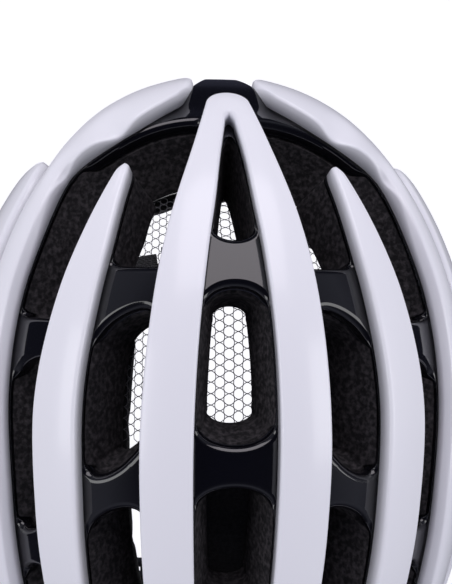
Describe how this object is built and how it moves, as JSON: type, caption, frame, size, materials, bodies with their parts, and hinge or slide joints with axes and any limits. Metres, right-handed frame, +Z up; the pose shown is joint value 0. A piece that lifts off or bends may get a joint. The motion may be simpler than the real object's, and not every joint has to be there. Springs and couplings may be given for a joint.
{
  "type": "cycling helmet",
  "caption": "Ventilated road cycling helmet: foam liner, black shell with long raised white ribs, rear dial fit system, pads, net and buckled chin straps.",
  "frame": {"origin": "middle of the head opening, level with the rim at the nape, under the crown", "axes": "+Z up to the crown, front of the helmet towards -Y, the wearer's left at +X; row axis -Z points out of the head opening"},
  "size_m": [0.211, 0.2788, 0.2908],
  "materials": {
    "white_shell": "glossy white with a cool lavender cast, lightly scuffed",
    "black_shell": "piano-gloss black",
    "foam": "moulded bead foam, matt black, fine grain",
    "moulding": "injection moulded, fine satin texture",
    "padding": "brushed knit over foam",
    "webbing": "woven polyester tape",
    "net": "open knitted mesh",
    "rubber": "soft, matt",
    "steel": "bright"
  },
  "bodies": {
    "helmet": {"foam_liner": "foam", "top_shell": "black_shell", "lower_shell": "black_shell", "centre_rib": "white_shell", "left_mid_rib": "white_shell", "right_mid_rib": "white_shell", "left_outer_rib": "white_shell", "right_outer_rib": "white_shell", "left_side_rib": "white_shell", "right_side_rib": "white_shell", "insect_net": "net", "crown_pad": "padding", "left_crown_pad": "padding", "right_crown_pad": "padding", "left_side_pad": "padding", "right_side_pad": "padding", "rear_pad": "padding", "brow_band": "moulding", "brow_pad": "padding", "left_temple_anchor": "moulding", "right_temple_anchor": "moulding", "left_front_strap_anchor": "moulding", "right_front_strap_anchor": "moulding", "left_rear_strap_anchor": "moulding", "right_rear_strap_anchor": "moulding", "left_front_strap": "webbing", "right_front_strap": "webbing", "left_rear_strap": "webbing", "right_rear_strap": "webbing", "left_strap_divider": "moulding", "right_strap_divider": "moulding", "left_cam_pin": "steel", "right_cam_pin": "steel", "left_chin_strap": "webbing", "right_chin_strap": "webbing", "buckle_socket": "moulding", "chin_pad": "padding", "strap_keeper": "rubber"},
    "fit_frame": {"left_temple_swivel": "moulding", "right_temple_swivel": "moulding"},
    "left_arm": {"left_fit_arm": "moulding"},
    "right_arm": {"right_fit_arm": "moulding"},
    "cradle_unit": {"cradle": "moulding", "dial_housing": "moulding", "left_cradle_pad": "padding", "right_cradle_pad": "padding"},
    "dial": {"pinion": "moulding", "dial_knob": "moulding", "dial_grip": "rubber", "dial_screw": "steel"},
    "left_lever": {"left_cam_lever": "moulding"},
    "right_lever": {"right_cam_lever": "moulding"},
    "tongue": {"buckle_tongue": "moulding", "buckle_front_prong": "moulding", "buckle_rear_prong": "moulding"}
  },
  "joints": [
    {"name": "fit_height", "type": "hinge", "parent": "helmet", "child": "fit_frame", "pos_m": [0, -0.025, 0.033], "axis": [1, 0, 0], "range_deg": [-6, 1.5]},
    {"name": "left_arm_swing", "type": "hinge", "parent": "fit_frame", "child": "left_arm", "pos_m": [0.0675, -0.025, 0.033], "axis": [0, 0, 1], "range_deg": [-2.94, 2.94]},
    {"name": "right_arm_swing", "type": "hinge", "parent": "fit_frame", "child": "right_arm", "pos_m": [-0.0675, -0.025, 0.033], "axis": [0, 0, 1], "range_deg": [-2.94, 2.94]},
    {"name": "cradle_reach", "type": "slide", "parent": "fit_frame", "child": "cradle_unit", "axis": [0, -1, 0], "range_m": [-0.00346, 0.00346]},
    {"name": "dial_turn", "type": "hinge", "parent": "cradle_unit", "child": "dial", "pos_m": [0, 0.092, -0.024], "axis": [0, -1, 0], "range_deg": [-57.29, 57.29]},
    {"name": "left_cam_lift", "type": "hinge", "parent": "helmet", "child": "left_lever", "pos_m": [0.0786, 0.002, -0.0484], "axis": [0, -1, 0], "range_deg": [0, 80]},
    {"name": "right_cam_lift", "type": "hinge", "parent": "helmet", "child": "right_lever", "pos_m": [-0.0786, 0.002, -0.0484], "axis": [0, 1, 0], "range_deg": [0, 80]},
    {"name": "buckle_release", "type": "slide", "parent": "helmet", "child": "tongue", "axis": [1, 0, 0], "range_m": [0, 0.03], "deforming": ["left_chin_strap", "buckle_front_prong", "buckle_rear_prong"]}
  ],
  "couplings": [
    {"joint": "left_arm_swing", "follows": "cradle_reach", "rad_per_m": 14.812},
    {"joint": "right_arm_swing", "follows": "cradle_reach", "rad_per_m": -14.812},
    {"joint": "dial_turn", "follows": "cradle_reach", "rad_per_m": 288.83}
  ]
}
